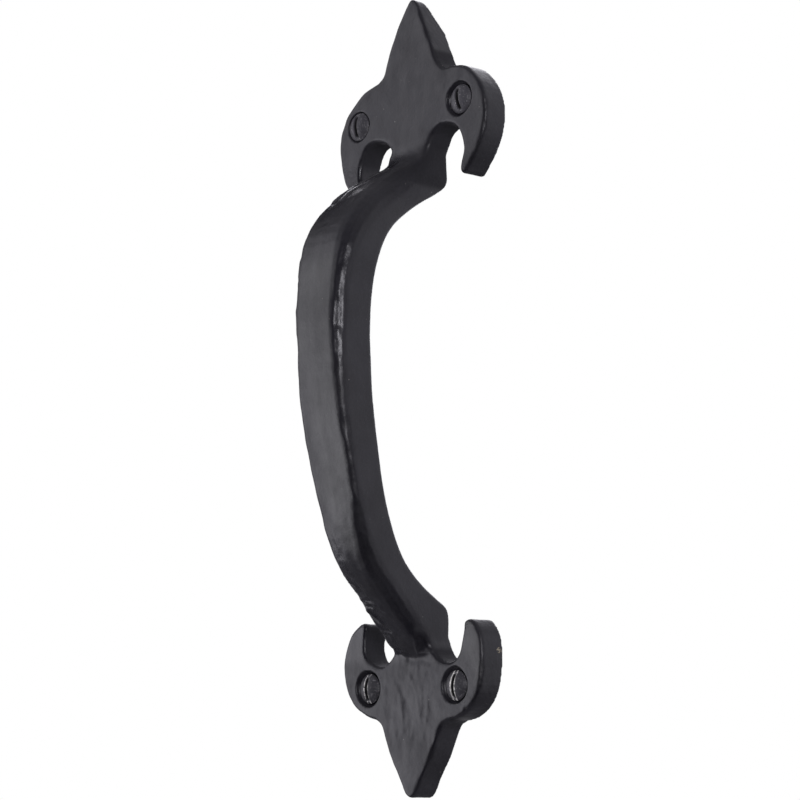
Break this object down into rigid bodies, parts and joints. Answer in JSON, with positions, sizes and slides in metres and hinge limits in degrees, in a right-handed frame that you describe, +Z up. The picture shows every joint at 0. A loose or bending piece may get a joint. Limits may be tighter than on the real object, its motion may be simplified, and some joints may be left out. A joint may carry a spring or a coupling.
{
  "type": "pull handle",
  "caption": "Cast-iron pull handle: a bowed grip between fleur-de-lis end plates, fixed flat to a door, gate or shutter by slotted raised-head screws.",
  "frame": {"origin": "on the mounting plane, midway between the tips of the plates", "axes": "+Z up along the handle, +Y into the door, +X to the right seen from the front"},
  "size_m": [0.0564, 0.0471, 0.204],
  "materials": {
    "painted_iron": "satin black paint over rough sand-cast iron",
    "screw_steel": "black japanned steel, rubbed bright at the edges of the slot"
  },
  "bodies": {
    "root": {"handle_casting": "painted_iron", "screw_upper_left": "screw_steel", "screw_upper_right": "screw_steel", "screw_lower_left": "screw_steel", "screw_lower_right": "screw_steel"}
  },
  "joints": []
}
